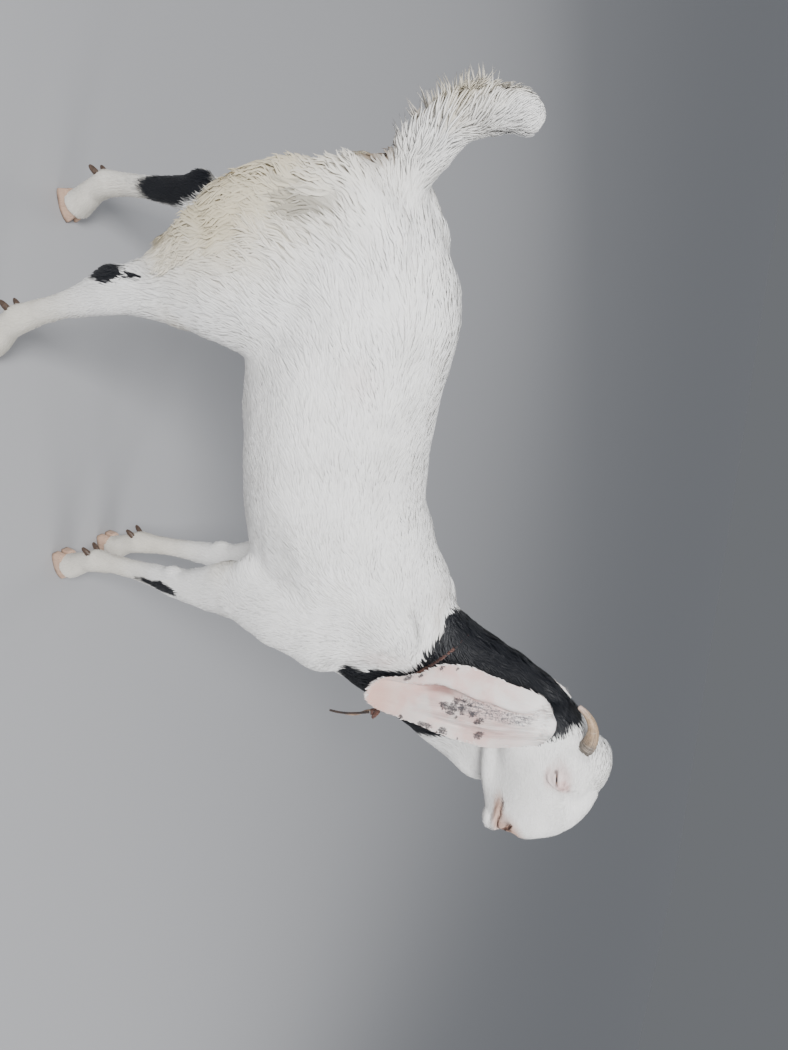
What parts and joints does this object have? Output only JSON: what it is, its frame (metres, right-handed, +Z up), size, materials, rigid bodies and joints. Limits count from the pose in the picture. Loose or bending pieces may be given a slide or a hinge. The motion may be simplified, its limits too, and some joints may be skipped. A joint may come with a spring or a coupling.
{
  "type": "sojat goat model",
  "caption": "Standing goat with a convex nose, long hanging ears, short horns, a raised feathered tail, breeches on the thighs, cloven hooves and a cord collar.",
  "frame": {"origin": "bottom centre of the box, on the floor the hooves stand on", "axes": "+X towards the head, +Y to the goat's left, +Z up"},
  "size_m": [1.038, 0.3022, 1.0908],
  "materials": {
    "white_coat": "short dense hair",
    "cream_coat": "long wavy hair",
    "black_coat": "short glossy hair",
    "ear_skin": "bare soft skin",
    "horn": "ringed horn",
    "eye": "wet",
    "hoof": "worn horn",
    "cord": "worn, matt"
  },
  "bodies": {
    "root": {"torso": "white_coat", "neck": "black_coat", "head": "white_coat", "tail": "cream_coat", "thigh_right": "cream_coat", "shank_right": "white_coat", "foreleg_right": "white_coat", "ear_right": "ear_skin", "horn_right": "horn", "eye_right": "eye", "thigh_left": "cream_coat", "shank_left": "white_coat", "foreleg_left": "white_coat", "ear_left": "ear_skin", "horn_left": "horn", "eye_left": "eye", "claw_fore_right_inner": "hoof", "dewclaw_fore_right_inner": "hoof", "claw_fore_right_outer": "hoof", "dewclaw_fore_right_outer": "hoof", "claw_fore_left_inner": "hoof", "dewclaw_fore_left_inner": "hoof", "claw_fore_left_outer": "hoof", "dewclaw_fore_left_outer": "hoof", "claw_hind_right_inner": "hoof", "dewclaw_hind_right_inner": "hoof", "claw_hind_right_outer": "hoof", "dewclaw_hind_right_outer": "hoof", "claw_hind_left_inner": "hoof", "dewclaw_hind_left_inner": "hoof", "claw_hind_left_outer": "hoof", "dewclaw_hind_left_outer": "hoof", "collar": "cord", "collar_knot": "cord", "cord_dark": "cord", "cord_tan": "cord"}
  },
  "joints": []
}
